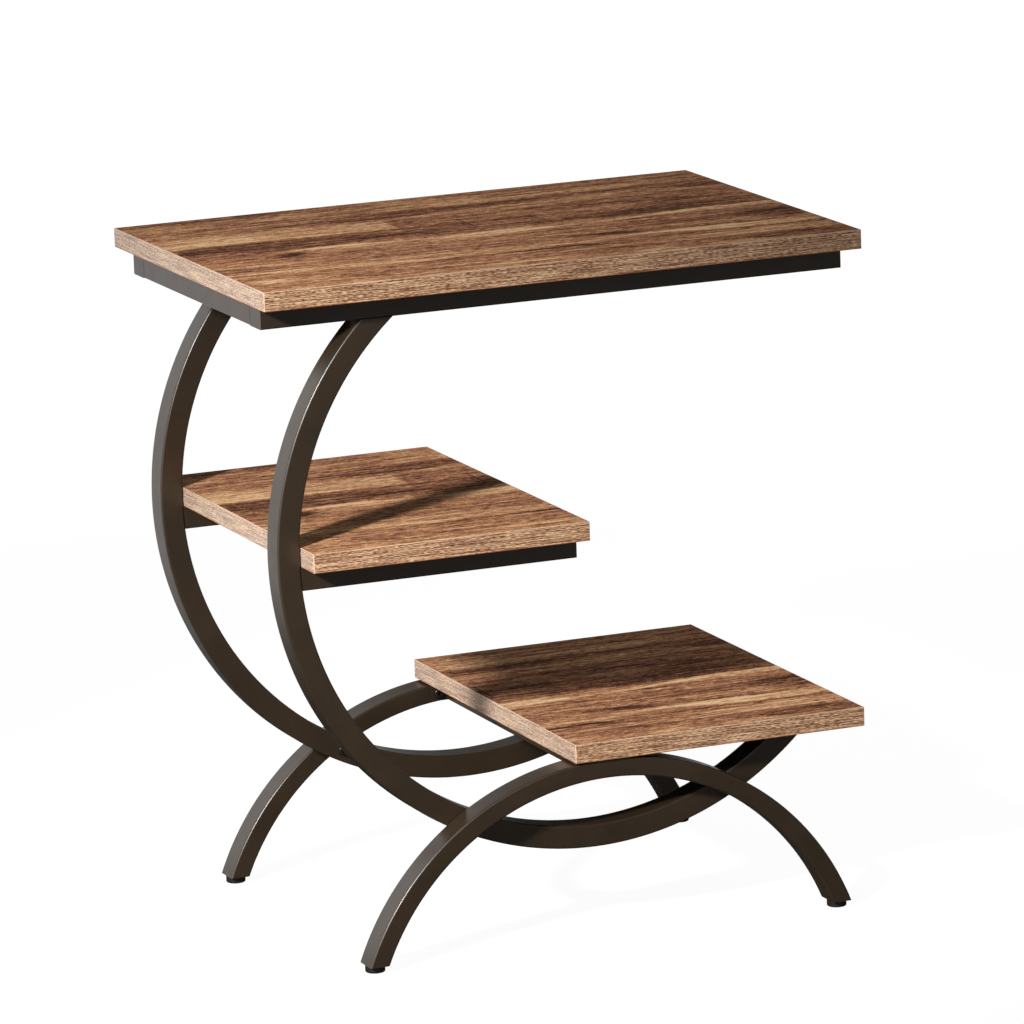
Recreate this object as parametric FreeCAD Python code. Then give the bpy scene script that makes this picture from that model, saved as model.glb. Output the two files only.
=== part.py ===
import FreeCAD, Part
import math
import os

# A c-shaped side table. Two C-shaped steel arcs carry a top board on a frame,
# a middle shelf at half height and a lower shelf at the right. Two low arches
# cross the arcs and stand on four small screw-in feet.
# Millimetres. X is the long side, Y runs from front to back, Z is up. The origin
# is on the floor, under the middle of the top board. Front and back mirror in Y.

Vector = FreeCAD.Vector

# Boards
board_thickness = 18.0
board_depth = 400.0
board_corner_radius = 1.0
board_edge_radius = 0.5
band_thickness = 0.8

# Top board and the steel frame under it
top_length = 590.0
table_height = 645.0
frame_inset = 7.5

# Steel tubes. Depth runs along Y, height is across it.
tube_depth = 28.0
tube_height = 22.0
arch_tube_height = 18.0
tube_wall = 1.2
tube_corner_radius = 1.6
cap_thickness = 2.0

# The C-shaped arcs, whose ends lie this far to the right and left of their centre
arc_centre_x = 24.5
arc_end_reach = 216.0

# The leg arches, and how far the boards reach past them
arch_centre_x = 27.0
arch_outer_radius = 260.5
board_overhang = 3.0
leg_end_height = 7.0

# Middle shelf
middle_top_height = 401.0
middle_right_x = 14.0
middle_rail_inset = 1.0
shelf_gap = 0.8

# Lower shelf
lower_top_height = 192.5
lower_left_x = -7.5
lower_right_x = 286.5

# Bolted end plates of the bar between the arches
plate_length = 60.0
plate_height = 15.0
plate_thickness = 3.0
plate_bolt_spacing = 46.6

# M6 bolts and weld nuts
bolt_radius = 3.0
bolt_head_radius = 5.25
bolt_head_height = 3.3
bolt_socket_radius = 2.0
bolt_socket_depth = 1.8
bolt_overreach = 2.0
bolt_hole_clearance = 0.25
nut_width = 10.0
nut_height = 5.0
nut_clearance = 0.1

# Wood screws, driven up through the tubes into the boards
screw_radius = 2.0
screw_depth = 12.0
screw_tip_length = 3.0
screw_tip_radius = 0.5
screw_head_radius = 4.0
screw_head_height = 2.4
screw_hole_clearance = 0.1
screw_access_radius = 5.0
top_screw_share = 0.39
middle_screw_share = 0.28
lower_screw_spacing = 200.0

# Screw-in feet
pad_radius = 9.3
pad_rim_radius = 1.5
pad_gap = 0.3
stud_radius = 2.95
stud_fit = 0.05
stud_rise = 12.0
collar_radius = 4.4
collar_thickness = 1.8
collar_play = 0.1
pad_floor = 1.8
plug_height = 10.0
plug_clearance = 0.15

# How far cuts run past what they cut, and sweeps run past their ends
overrun = 5.0
overrun_angle = 6.0

# Heights and places worked out from the sizes above
top_underside = table_height - board_thickness
frame_underside = top_underside - tube_height
middle_underside = middle_top_height - board_thickness
lower_underside = lower_top_height - board_thickness
arc_centre_z = (frame_underside + lower_underside) / 2
arc_rise = frame_underside - arc_centre_z
arc_outer_radius = math.hypot(arc_rise, arc_end_reach)
arc_inner_radius = arc_outer_radius - tube_height
arc_middle_radius = arc_outer_radius - tube_height / 2
arch_centre_z = lower_underside - arch_outer_radius
arch_middle_radius = arch_outer_radius - arch_tube_height / 2
arch_face_y = board_depth / 2 - board_overhang
arc_face_y = arch_face_y - tube_depth
arc_back_y = arc_face_y - tube_depth
frame_half_length = top_length / 2 - frame_inset


def chord(radius, rise):
    """How far a circle of this radius is from its upright centre line at this rise."""
    return math.sqrt(radius * radius - rise * rise)


def lift(radius, rise):
    """The angle above level, in degrees, at which a circle has this rise."""
    return math.degrees(math.asin(rise / radius))


# The middle shelf just clears the arcs at its top and underside.
middle_drop = max(abs(middle_top_height - arc_centre_z), abs(middle_underside - arc_centre_z))
middle_left_x = arc_centre_x - chord(arc_inner_radius, middle_drop) + shelf_gap
middle_rail_end = middle_right_x - middle_rail_inset


# The feet stand under the middle of each leg's cut end.
foot_reach = chord(arch_middle_radius, leg_end_height - arch_centre_z)
foot_places = {
    "front_left": (arch_centre_x - foot_reach, -arch_face_y + tube_depth / 2),
    "front_right": (arch_centre_x + foot_reach, -arch_face_y + tube_depth / 2),
    "back_left": (arch_centre_x - foot_reach, arch_face_y - tube_depth / 2),
    "back_right": (arch_centre_x + foot_reach, arch_face_y - tube_depth / 2),
}

# The arcs and arches cross where their middle lines meet.
centre_drop = arc_centre_z - arch_centre_z
centre_shift = arch_centre_x - arc_centre_x
centre_distance = math.hypot(centre_drop, centre_shift)
radius_difference = arc_middle_radius ** 2 - arch_middle_radius ** 2
crossing_drop = (radius_difference + centre_distance ** 2) / (2 * centre_distance)
crossing_reach = chord(arc_middle_radius, crossing_drop)
lean = centre_shift / centre_distance
fall = centre_drop / centre_distance


def crossing(side):
    """The place, in X and Z, where an arc and an arch cross: side is -1 left or 1 right."""
    x = arc_centre_x + crossing_drop * lean + side * crossing_reach * fall
    z = arc_centre_z - crossing_drop * fall + side * crossing_reach * lean
    return x, z


crossings = [crossing(-1), crossing(1)]


# General shapes


def block(x_low, x_high, y_low, y_high, z_low, z_high):
    """A box between two corners."""
    corner = Vector(x_low, y_low, z_low)
    return Part.makeBox(x_high - x_low, y_high - y_low, z_high - z_low, corner)


def rounded_face(width, depth, radius):
    """A flat rectangle with round corners, about the origin in the XY plane."""
    half_x = width / 2
    half_y = depth / 2
    run_x = half_x - radius
    run_y = half_y - radius
    slant = radius / math.sqrt(2)
    edges = []
    for turn in range(4):
        a, b, run_a, run_b = half_x, half_y, run_x, run_y
        if turn % 2:
            a, b, run_a, run_b = half_y, half_x, run_y, run_x
        side = Part.LineSegment(Vector(a, -run_b, 0), Vector(a, run_b, 0)).toShape()
        middle = Vector(run_a + slant, run_b + slant, 0)
        corner = Part.Arc(Vector(a, run_b, 0), middle, Vector(run_a, b, 0)).toShape()
        for edge in (side, corner):
            edge.rotate(Vector(), Vector(0, 0, 1), 90 * turn)
            edges.append(edge)
    return Part.Face(Part.Wire(edges))


def tube_faces(width, depth):
    """The outer and inner outlines of a rectangular tube's section."""
    outer = rounded_face(width, depth, tube_corner_radius)
    inner_radius = tube_corner_radius - tube_wall
    inner = rounded_face(width - 2 * tube_wall, depth - 2 * tube_wall, inner_radius)
    return outer, inner


def place_along_x(face, x, y, z):
    """Stand a section, drawn with its height along X, square to the X axis."""
    face.rotate(Vector(), Vector(0, 1, 0), 90)
    face.translate(Vector(x, y, z))
    return face


def rail_along_x(x_low, x_high, y_middle, z_top):
    """A straight rectangular tube along X."""
    solids = []
    for face in tube_faces(tube_height, tube_depth):
        place_along_x(face, x_low, y_middle, z_top - tube_height / 2)
        solids.append(face.extrude(Vector(x_high - x_low, 0, 0)))
    return solids[0].cut(solids[1])


def rail_along_y(x_middle, y_low, y_high, z_top, height):
    """A straight rectangular tube along Y, as wide as the others are deep."""
    solids = []
    for face in tube_faces(tube_depth, height):
        face.rotate(Vector(), Vector(1, 0, 0), 90)
        face.translate(Vector(x_middle, y_low, z_top - height / 2))
        solids.append(face.extrude(Vector(0, y_high - y_low, 0)))
    return solids[0].cut(solids[1])


def ring_part(face, centre_x, centre_z, middle_radius, y_middle, start, end):
    """Sweep a section about an axis along Y, from one angle up to another."""
    face.translate(Vector(centre_x + middle_radius, y_middle, centre_z))
    axis_point = Vector(centre_x, y_middle, centre_z)
    face.rotate(axis_point, Vector(0, -1, 0), start)
    return face.revolve(axis_point, Vector(0, -1, 0), end - start)


def upright(radius, x, y, z_low, z_high):
    """A cylinder along Z."""
    return Part.makeCylinder(radius, z_high - z_low, Vector(x, y, z_low))


def level_rod(radius, x, z, y_from, y_to):
    """A cylinder along Y, from one place to the other."""
    sign = 1 if y_to > y_from else -1
    start = Vector(x, y_from, z)
    return Part.makeCylinder(radius, abs(y_to - y_from), start, Vector(0, sign, 0))


def one_solid(shape):
    """The single solid that a cut leaves."""
    return shape.Solids[0]


def write(name, solids):
    """Write one node, made of one solid or of several separate ones."""
    shape = solids[0] if len(solids) == 1 else Part.makeCompound(solids)
    shape.exportStep(f"parts/{name}.step")
    volume = sum(solid.Volume for solid in solids) / 1000
    print(f"{name}: {len(solids)} solid(s), {volume:.1f} cm3")


# Boards with edge bands


def screw_holes(places, z_seat):
    """Pilot holes in a board, at the given places in X and Y."""
    radius = screw_radius + screw_hole_clearance
    top = z_seat + screw_depth + screw_hole_clearance
    return [upright(radius, x, y, z_seat - overrun, top) for x, y in places]


def banded_board(x_low, x_high, z_top, holes):
    """A board's core and the four strips glued round its edges."""
    z_low = z_top - board_thickness
    half = board_depth / 2
    slab = block(x_low, x_high, -half, half, z_low, z_top)
    corners = [e for e in slab.Edges if abs(e.tangentAt(0).z) > 0.5]
    slab = slab.makeFillet(board_corner_radius, corners)
    rims = [e for e in slab.Edges if e.BoundBox.ZLength < board_edge_radius]
    slab = slab.makeFillet(board_edge_radius, rims)
    x_in_low = x_low + band_thickness
    x_in_high = x_high - band_thickness
    y_in = half - band_thickness
    heart = block(x_in_low, x_in_high, -y_in, y_in, z_low - overrun, z_top + overrun)
    core = one_solid(slab.common(heart).cut(holes))
    ring = slab.cut(heart)
    x_far_low = x_low - overrun
    x_far_high = x_high + overrun
    far = half + overrun
    z_far = (z_low - overrun, z_top + overrun)
    front = ring.common(block(x_far_low, x_far_high, -far, -y_in, *z_far))
    back = ring.common(block(x_far_low, x_far_high, y_in, far, *z_far))
    left = ring.common(block(x_far_low, x_in_low, -y_in, y_in, *z_far))
    right = ring.common(block(x_in_high, x_far_high, -y_in, y_in, *z_far))
    return core, [one_solid(strip) for strip in (front, back, left, right)]


# Screws, bolts and nuts


def wood_screw(x, y, z_seat):
    """A pan-head screw whose head sits under a tube's top wall, with a cone at its tip."""
    z_head = z_seat - tube_wall
    z_point = z_seat + screw_depth
    z_cone = z_point - screw_tip_length
    head = upright(screw_head_radius, x, y, z_head - screw_head_height, z_head)
    rim = [e for e in head.Edges if e.BoundBox.ZMax < z_head - screw_head_height / 2]
    head = head.makeFillet(screw_head_height / 3, rim)
    shank = upright(screw_radius, x, y, z_head, z_cone)
    cone_base = Vector(x, y, z_cone)
    tip = Part.makeCone(screw_radius, screw_tip_radius, screw_tip_length, cone_base)
    return one_solid(head.fuse([shank, tip]))


def tube_screw_cuts(places, z_top, height):
    """Clearance holes through a tube's top wall and wider access holes below."""
    cuts = []
    for x, y in places:
        z_low = z_top - height
        shank = screw_radius + screw_hole_clearance
        cuts.append(upright(shank, x, y, z_top - height / 2, z_top + overrun))
        cuts.append(upright(screw_access_radius, x, y, z_low - overrun, z_low + height / 2))
    return cuts


def button_bolt(x, z, y_seat, sign, grip):
    """A bolt along Y with a round socket head. Sign is the way that it points."""
    y_head = y_seat - sign * bolt_head_height
    y_end = y_seat + sign * (grip + nut_height + bolt_overreach)
    head = level_rod(bolt_head_radius, x, z, y_head, y_seat)
    rim = [e for e in head.Edges if abs(e.BoundBox.Center.y - y_head) < bolt_head_height / 3]
    head = head.makeFillet(bolt_head_height / 2, rim)
    shank = level_rod(bolt_radius, x, z, y_seat, y_end)
    socket = level_rod(bolt_socket_radius, x, z, y_head, y_head + sign * bolt_socket_depth)
    return one_solid(head.fuse(shank).cut(socket))


def weld_nut(x, z, y_wall, sign):
    """A square nut against the inside of an arch's inner wall."""
    half = nut_width / 2
    y_far = y_wall + sign * nut_height
    y_low = min(y_wall, y_far)
    body = block(x - half, x + half, y_low, y_low + nut_height, z - half, z + half)
    body.rotate(Vector(x, y_wall, z), Vector(0, 1, 0), nut_turn(x, z))
    bore = level_rod(bolt_radius + nut_clearance, x, z, y_wall, y_far + sign * overrun)
    return one_solid(body.cut(bore))


def nut_turn(x, z):
    """The turn that lines a nut up with its arch."""
    return math.degrees(math.atan2(x - arch_centre_x, z - arch_centre_z))


# Rails under the top board

frame_seat = top_underside
rail_middle_y = arc_face_y - tube_depth / 2
frame_screw_x = top_screw_share * top_length
long_rail_screws = [-frame_screw_x, 0, frame_screw_x]
cross_rail_x = frame_half_length - tube_depth / 2
top_screws = [(x, side * rail_middle_y) for side in (-1, 1) for x in long_rail_screws]
top_screws += [(-cross_rail_x, 0), (cross_rail_x, 0)]


def build_top_frame():
    """Two long rails with closed ends, and two cross rails between them."""
    cuts = tube_screw_cuts(top_screws, frame_seat, tube_height)
    x_end = frame_half_length - cap_thickness
    caps = []
    for name, side in (("front", -1), ("back", 1)):
        rail = rail_along_x(-x_end, x_end, side * rail_middle_y, frame_seat)
        write(f"top_rail_{name}", [one_solid(rail.cut(cuts))])
        for x_cap in (-frame_half_length, x_end):
            caps.append(end_cap(x_cap, side * rail_middle_y, frame_seat))
    write("top_rail_end_caps", caps)
    for name, side in (("left", -1), ("right", 1)):
        rail = rail_along_y(side * cross_rail_x, -arc_back_y, arc_back_y, frame_seat, tube_height)
        write(f"top_rail_{name}", [one_solid(rail.cut(cuts))])


def end_cap(x_low, y_middle, z_top):
    """A plate that closes the end of a rail."""
    face = tube_faces(tube_height, tube_depth)[0]
    place_along_x(face, x_low, y_middle, z_top - tube_height / 2)
    return face.extrude(Vector(cap_thickness, 0, 0))


# The C-shaped arcs


def build_arcs():
    """Two bent tubes from the top frame round to the lower shelf."""
    start = 180 - lift(arc_inner_radius, arc_rise) - overrun_angle
    end = 360 - lift(arc_outer_radius, arc_rise) + overrun_angle
    for name, side in (("front", -1), ("back", 1)):
        solids = []
        for face in tube_faces(tube_height, tube_depth):
            y_middle = side * rail_middle_y
            place = (arc_centre_x, arc_centre_z, arc_middle_radius, y_middle)
            solids.append(ring_part(face, *place, start, end))
        tube = solids[0].cut(solids[1])
        reach = arc_outer_radius + overrun
        left = arc_centre_x - reach
        right = arc_centre_x + reach
        y_far = arc_face_y + overrun
        z_far = arc_centre_z + reach
        above_frame = block(left, right, -y_far, y_far, frame_underside, z_far)
        above_shelf = block(arc_centre_x, right, -y_far, y_far, lower_underside, z_far)
        hole = bolt_radius + bolt_hole_clearance
        y_in = side * (arc_back_y - overrun)
        y_out = side * (arc_face_y + overrun)
        holes = [level_rod(hole, x, z, y_in, y_out) for x, z in crossings]
        write(f"c_arc_{name}", [one_solid(tube.cut([above_frame, above_shelf] + holes))])


end_rail_x = arc_centre_x + chord(arc_middle_radius, arc_centre_z - lower_underside)
lower_screw_y = lower_screw_spacing / 2
lower_screws = [(x, side * lower_screw_y) for x in (arch_centre_x, end_rail_x) for side in (-1, 1)]


def build_arc_end_rail():
    """The cross rail between the arcs' lower ends, under the lower shelf."""
    rail = rail_along_y(end_rail_x, -arc_back_y, arc_back_y, lower_underside, arch_tube_height)
    cuts = tube_screw_cuts(lower_screws, lower_underside, arch_tube_height)
    write("arc_end_rail", [one_solid(rail.cut(cuts))])


# Rails under the middle shelf

middle_length = middle_right_x - middle_left_x
middle_centre_x = (middle_left_x + middle_right_x) / 2
middle_screw_x = middle_screw_share * middle_length
middle_cross_x = middle_rail_end - tube_depth / 2
middle_screws = [
    (middle_centre_x + offset, side * rail_middle_y)
    for side in (-1, 1)
    for offset in (-middle_screw_x, middle_screw_x)
]
middle_screws += [(middle_cross_x, 0)]


def build_middle_rails():
    """Two rails that butt on the insides of the arcs, and a cross rail at their right end."""
    cuts = tube_screw_cuts(middle_screws, middle_underside, tube_height)
    centre = Vector(arc_centre_x, -arc_face_y - overrun, arc_centre_z)
    width = 2 * (arc_face_y + overrun)
    inside_arc = Part.makeCylinder(arc_inner_radius, width, centre, Vector(0, 1, 0))
    x_start = arc_centre_x - arc_inner_radius - overrun
    x_end = middle_rail_end - cap_thickness
    caps = []
    for name, side in (("front", -1), ("back", 1)):
        rail = rail_along_x(x_start, x_end, side * rail_middle_y, middle_underside)
        write(f"middle_rail_{name}", [one_solid(rail.common(inside_arc).cut(cuts))])
        caps.append(end_cap(x_end, side * rail_middle_y, middle_underside))
    write("middle_rail_end_caps", caps)
    rail = rail_along_y(middle_cross_x, -arc_back_y, arc_back_y, middle_underside, tube_height)
    write("middle_rail_right", [one_solid(rail.cut(cuts))])


# The leg arches and the bar between them

plate_bolt_x = [arch_centre_x + side * plate_bolt_spacing / 2 for side in (-1, 1)]
plate_bolt_z = arch_centre_z + chord(arch_middle_radius, plate_bolt_spacing / 2)
inner_wall_y = arc_face_y + tube_wall
leg_drop = leg_end_height - arch_centre_z
arch_foot_angle = lift(arch_outer_radius, leg_drop) - overrun_angle


def build_arches():
    """Two bent tubes that stand astride the arcs, with their ends cut level."""
    for name, side in (("front", -1), ("back", 1)):
        y_middle = side * (arch_face_y - tube_depth / 2)
        place = (arch_centre_x, arch_centre_z, arch_middle_radius, y_middle)
        solids = []
        for face in tube_faces(arch_tube_height, tube_depth):
            solids.append(ring_part(face, *place, arch_foot_angle, 180 - arch_foot_angle))
        tube = solids[0].cut(solids[1])
        reach = arch_outer_radius + overrun
        left = arch_centre_x - reach
        right = arch_centre_x + reach
        y_far = arch_face_y + overrun
        below = block(left, right, -y_far, y_far, arch_centre_z, leg_end_height)
        bolts = crossings + [(x, plate_bolt_z) for x in plate_bolt_x]
        hole = bolt_radius + bolt_hole_clearance
        y_in = side * (arc_face_y - overrun)
        y_out = side * (arc_face_y + tube_depth / 2)
        holes = [level_rod(hole, x, z, y_in, y_out) for x, z in bolts]
        write(f"leg_arch_{name}", [one_solid(tube.cut([below] + holes))])


def build_apex_bar():
    """The bar between the arches under the lower shelf, with a bolted plate at each end."""
    y_end = arc_face_y - plate_thickness
    bar = rail_along_y(arch_centre_x, -y_end, y_end, lower_underside, arch_tube_height)
    cuts = tube_screw_cuts(lower_screws, lower_underside, arch_tube_height)
    write("apex_bar", [one_solid(bar.cut(cuts))])
    plates = []
    bolts = []
    nuts = []
    half_length = plate_length / 2
    half_height = plate_height / 2
    hole = bolt_radius + bolt_hole_clearance
    for side in (-1, 1):
        y_low = min(side * y_end, side * arc_face_y)
        plate = block(
            arch_centre_x - half_length,
            arch_centre_x + half_length,
            y_low,
            y_low + plate_thickness,
            plate_bolt_z - half_height,
            plate_bolt_z + half_height,
        )
        for x in plate_bolt_x:
            y_past = side * (arc_face_y + overrun)
            plate = plate.cut(level_rod(hole, x, plate_bolt_z, side * y_end, y_past))
            grip = plate_thickness + tube_wall
            bolts.append(button_bolt(x, plate_bolt_z, side * y_end, side, grip))
            nuts.append(weld_nut(x, plate_bolt_z, side * inner_wall_y, side))
        plates.append(one_solid(plate))
    write("apex_bar_plates", plates)
    write("apex_bolts", bolts)
    write("apex_weld_nuts", nuts)


def build_crossing_bolts():
    """Bolts from inside the arcs that hold them to the arches."""
    bolts = []
    nuts = []
    for side in (-1, 1):
        for x, z in crossings:
            bolts.append(button_bolt(x, z, side * arc_back_y, side, tube_depth + tube_wall))
            nuts.append(weld_nut(x, z, side * inner_wall_y, side))
    write("crossing_bolts", bolts)
    write("crossing_weld_nuts", nuts)


# Feet

stud_top = leg_end_height + stud_rise
pad_top = leg_end_height - pad_gap
collar_low = pad_floor + collar_play
collar_high = collar_low + collar_thickness


def foot_plug(x, y):
    """A threaded plug that fills the end of a leg."""
    side = 1 if x > arch_centre_x else -1
    margin = tube_wall + plug_clearance
    half_y = tube_depth / 2 - margin
    z_top = leg_end_height + plug_height
    centre = Vector(arch_centre_x, y - half_y, arch_centre_z)
    along_y = Vector(0, 1, 0)
    outer = Part.makeCylinder(arch_outer_radius - margin, 2 * half_y, centre, along_y)
    inner_radius = arch_outer_radius - arch_tube_height + margin
    inner = Part.makeCylinder(inner_radius, 2 * half_y, centre, along_y)
    x_far = x + side * tube_depth
    x_near = x - side * tube_depth
    x_pair = (min(x_near, x_far), max(x_near, x_far))
    end = block(*x_pair, y - half_y, y + half_y, leg_end_height, z_top)
    bore = upright(stud_radius + stud_fit, x, y, leg_end_height - overrun, z_top + overrun)
    return one_solid(end.common(outer).cut([inner, bore]))


def foot_stud(x, y):
    """The foot's screw, with the collar that the pad is snapped over."""
    shank = upright(stud_radius, x, y, collar_low, stud_top)
    collar = upright(collar_radius, x, y, collar_low, collar_high)
    return one_solid(shank.fuse(collar))


def foot_pad(x, y):
    """A round plastic pad with the socket for the collar."""
    pad = upright(pad_radius, x, y, 0, pad_top)
    rim = [e for e in pad.Edges if e.BoundBox.ZMax < pad_rim_radius]
    pad = pad.makeFillet(pad_rim_radius, rim)
    socket = upright(collar_radius + stud_fit, x, y, pad_floor, collar_high + collar_play)
    neck = upright(stud_radius + stud_fit, x, y, pad_floor, pad_top + overrun)
    return one_solid(pad.cut([socket, neck]))


def build_feet():
    """Four plugs fixed in the legs, and a stud and a pad for each foot."""
    write("foot_plugs", [foot_plug(*place) for place in foot_places.values()])
    for name, place in foot_places.items():
        write(f"foot_stud_{name}", [foot_stud(*place)])
        write(f"foot_pad_{name}", [foot_pad(*place)])


# Boards and their screws


def build_board(name, x_low, x_high, z_top, places):
    """One board, its edge bands and its screws."""
    z_seat = z_top - board_thickness
    core, strips = banded_board(x_low, x_high, z_top, screw_holes(places, z_seat))
    write(f"{name}_board", [core])
    write(f"{name}_edge_bands", strips)
    write(f"{name}_screws", [wood_screw(x, y, z_seat) for x, y in places])


os.makedirs("parts", exist_ok=True)
half_top = top_length / 2
build_board("top", -half_top, half_top, table_height, top_screws)
build_board("middle", middle_left_x, middle_right_x, middle_top_height, middle_screws)
build_board("lower", lower_left_x, lower_right_x, lower_top_height, lower_screws)
build_top_frame()
build_arcs()
build_arc_end_rail()
build_middle_rails()
build_arches()
build_apex_bar()
build_crossing_bolts()
build_feet()
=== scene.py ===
# %% [markdown]
# # A c-shaped side table
# The table has three boards with a printed walnut pattern, carried by two steel arcs
# that stand on two low steel arches. The measured solids come in as a fixed frame.
# This lesson gives them their finishes, makes the bent tubes again with smooth bends,
# and sets up a studio picture of the table.

# %% Load the measured solids
import math
import bmesh
import bpy
from mathutils import Matrix, Vector


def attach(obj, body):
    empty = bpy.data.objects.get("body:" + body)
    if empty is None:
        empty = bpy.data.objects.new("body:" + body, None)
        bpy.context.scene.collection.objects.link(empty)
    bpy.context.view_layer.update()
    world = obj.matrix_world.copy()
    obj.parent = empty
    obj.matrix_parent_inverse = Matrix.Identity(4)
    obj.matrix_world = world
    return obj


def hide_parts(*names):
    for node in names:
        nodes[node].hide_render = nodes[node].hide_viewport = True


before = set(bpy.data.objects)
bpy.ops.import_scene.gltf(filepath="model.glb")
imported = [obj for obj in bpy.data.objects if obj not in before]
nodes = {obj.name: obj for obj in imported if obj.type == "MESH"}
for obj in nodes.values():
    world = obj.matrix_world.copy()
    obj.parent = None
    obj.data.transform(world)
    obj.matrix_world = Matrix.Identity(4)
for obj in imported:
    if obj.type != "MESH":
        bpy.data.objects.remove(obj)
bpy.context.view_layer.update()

# %% [markdown]
# ## Small helpers
# Lengths on furniture are given in millimetres, and Blender works in metres.
# Heights and depths that the solids already have are measured on them, not typed again.
# Colours are read off a screen as sRGB hex values, and a shader wants linear light.
# Every material below is a tree of nodes. They could be placed by hand in the shader
# editor, but one small function that adds a node, types its values and wires its
# links keeps a tree readable as text, because its calls nest as the links do.

# %% Helpers for lengths and colours
MM = 0.001


def span(mesh, axis):
    """The lowest and highest place of a mesh along axis 0, 1 or 2, in millimetres."""
    places = [vert.co[axis] / MM for vert in mesh.vertices]
    return min(places), max(places)


def tint(hex_colour):
    """An sRGB hex colour as linear RGBA."""
    channels = [int(hex_colour[i:i + 2], 16) / 255 for i in (1, 3, 5)]
    linear = [c / 12.92 if c <= 0.04045 else ((c + 0.055) / 1.055) ** 2.4 for c in channels]
    return (*linear, 1.0)


top_level = span(nodes["top_board"].data, 2)[1]
print(f"the top board's surface is {top_level:.1f} mm above the floor")

# %% Helpers for nodes
def add_node(tree, kind, sockets=None, output=0, stops=(), **settings):
    """Adds one node and returns one of its outputs, so that calls nest.

    Settings are the node's own. A socket gets a value, or another node's output, which
    is wired to it. Stops are the places and hex colours of a colour ramp.
    """
    node = tree.nodes.new("ShaderNode" + kind)
    for name, value in settings.items():
        setattr(node, name, value)
    for socket, value in (sockets or {}).items():
        if isinstance(value, bpy.types.NodeSocket):
            tree.links.new(value, node.inputs[socket])
        else:
            node.inputs[socket].default_value = value
    for _ in stops[2:]:
        node.color_ramp.elements.new(0.5)
    for element, (place, hex_colour) in enumerate(stops):
        node.color_ramp.elements[element].position = place
        node.color_ramp.elements[element].color = tint(hex_colour)
    return node.outputs[output] if node.outputs else None


def new_material(name):
    """A material whose node tree is still empty, and that tree."""
    material = bpy.data.materials.new(name)
    material.use_nodes = True
    material.node_tree.nodes.clear()
    return material, material.node_tree


print("node helpers ready")

# %% [markdown]
# ## The camera
# The picture is taken from the front left and from a little above, with a long lens
# from several metres away, so the edges of the boards stay nearly parallel. The lens
# could be shifted, as for a picture of a building, which keeps upright edges upright.
# The camera is turned towards the table here, so that other views can use the same lens.

# %% Place the camera
# Place in metres, turns in degrees, lens in millimetres.
CAMERA_PLACE = Vector((-2.52831, -6.25076, 1.81051))
CAMERA_TURNS = (77.9662, 1.9116, -22.5784)
LENS_LENGTH = 257.64

lens = bpy.data.cameras.new("view_camera")
lens.sensor_width = 36.0
lens.lens = LENS_LENGTH
lens.clip_start = 0.1
lens.clip_end = 200.0
camera = bpy.data.objects.new("view_camera", lens)
camera.location = CAMERA_PLACE
camera.rotation_euler = [math.radians(a) for a in CAMERA_TURNS]
bpy.context.scene.collection.objects.link(camera)
bpy.context.scene.camera = camera
print(f"camera {CAMERA_PLACE.length:.2f} m from the table, lens {LENS_LENGTH} mm")

# %% [markdown]
# ## The floor
# A studio picture on white has a floor that runs out to nothing. It could be lit until it
# is white, but then the table is too bright as well. Here the floor is pale paper for the
# light that bounces off it, and nearly white for the eye, so that its shadows stay.

# %% The floor
# Half the floor's width, in metres.
FLOOR_HALF = 40.0

floor_mesh = bmesh.new()
bmesh.ops.create_grid(floor_mesh, x_segments=1, y_segments=1, size=FLOOR_HALF)
floor_data = bpy.data.meshes.new("studio_floor")
floor_mesh.to_mesh(floor_data)
floor_mesh.free()
floor = bpy.data.objects.new("studio_floor", floor_data)
bpy.context.scene.collection.objects.link(floor)
print(f"floor of {2 * FLOOR_HALF:.0f} m laid")

# %% [markdown]
# The eye should see white paper, while the table is lit by paper that is only pale. Light
# Path tells a material which kind of ray asks. Two small functions keep that readable.

# %% Who is looking
def looked_at(tree):
    """1 for rays from the eye and for mirrored rays, and 0 for light that bounces."""
    is_seen = add_node(tree, "LightPath", output="Is Camera Ray")
    is_mirrored = add_node(tree, "LightPath", output="Is Glossy Ray")
    return add_node(tree, "Math", {0: is_seen, 1: is_mirrored}, operation="MAXIMUM")


def whiteness(tree, mirrored):
    """1 for the eye, and the given amount for mirrored rays."""
    is_seen = add_node(tree, "LightPath", output="Is Camera Ray")
    return add_node(tree, "Math", {0: is_seen, 1: mirrored}, operation="MAXIMUM")


print("two functions for rays")

# %% [markdown]
# The paper that the eye sees is a glow with a thin layer of real paper over it, and only
# that layer takes the shadows, so they come out as faint as in the picture. The glow
# fades to full white away from the table.
# In the picture the smooth coat mirrors pale paper far behind the table and to its left,
# and hardly any near it, where the table shades the floor. That shade is painted into the
# floor for mirrored rays: they see it turn from painted shade to dim, and then to pale on those two sides.

# %% The paper
# Brightness from 0 to 1, and distances from the middle of the table in metres.
FLOOR_PALE = 0.80
THIN_PAPER = 0.13
NEAR_GLOW = 0.95
NEAR_FLOOR = 1.6
FAR_FLOOR = 2.8
# Painted shade: how dark mirrored rays see the floor next to the table.
PAINTED_FLOOR_SHADE = 0.03
SHADED_TO = 0.5
DIM_PAPER = 0.17
DIM_FROM = 1.1
DIM_TO = 0.55
LEFT_SHIFT = 0.4
PALE_PAPER = 0.80
PALE_FROM = 1.25

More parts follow.
